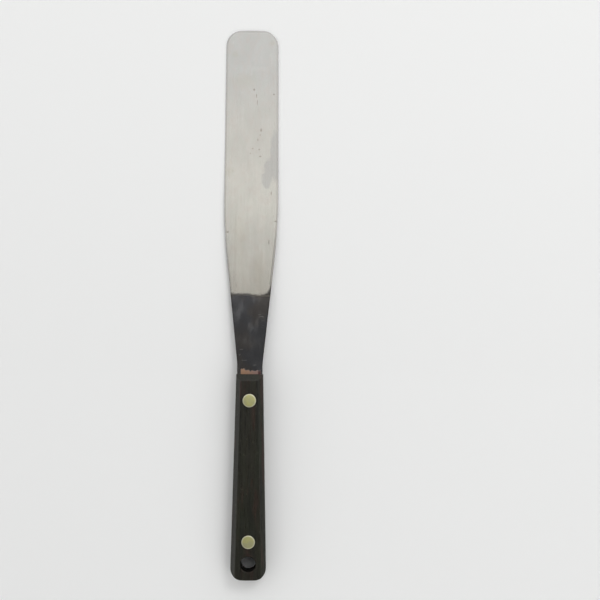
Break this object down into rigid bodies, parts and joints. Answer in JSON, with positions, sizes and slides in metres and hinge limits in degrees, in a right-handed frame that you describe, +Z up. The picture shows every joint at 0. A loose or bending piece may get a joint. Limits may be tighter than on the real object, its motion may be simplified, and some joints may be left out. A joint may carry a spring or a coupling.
{
  "type": "flexible putty knife",
  "caption": "Long flexible spatula-type putty knife with a ground steel blade, round tip corners, full tang, riveted wooden scales and a hang hole.",
  "frame": {"origin": "under the middle of the knife, on the plane of the handle's lower face", "axes": "+Y along the knife towards the blade tip, +X across it, +Z up through its thickness"},
  "size_m": [0.0318, 0.324, 0.0136],
  "materials": {
    "blade_steel": "satin ground blade, polished shank, worn with fine scratches",
    "rosewood": "dark rosewood, oiled, faint lengthwise grain",
    "rivet_brass": "ground flush, dull"
  },
  "bodies": {
    "handle": {"tang_and_shank": "blade_steel", "upper_scale": "rosewood", "lower_scale": "rosewood", "front_rivet_female": "rivet_brass", "front_rivet_male": "rivet_brass", "rear_rivet_female": "rivet_brass", "rear_rivet_male": "rivet_brass"},
    "blade": {"flexible_blade": "blade_steel"}
  },
  "joints": [
    {"name": "blade_flex", "type": "hinge", "parent": "handle", "child": "blade", "pos_m": [0, 0.007, 0.0068], "axis": [1, 0, 0], "range_deg": [0, 35], "stiffness_Nm_per_rad": 4, "deforming": ["flexible_blade"]}
  ]
}
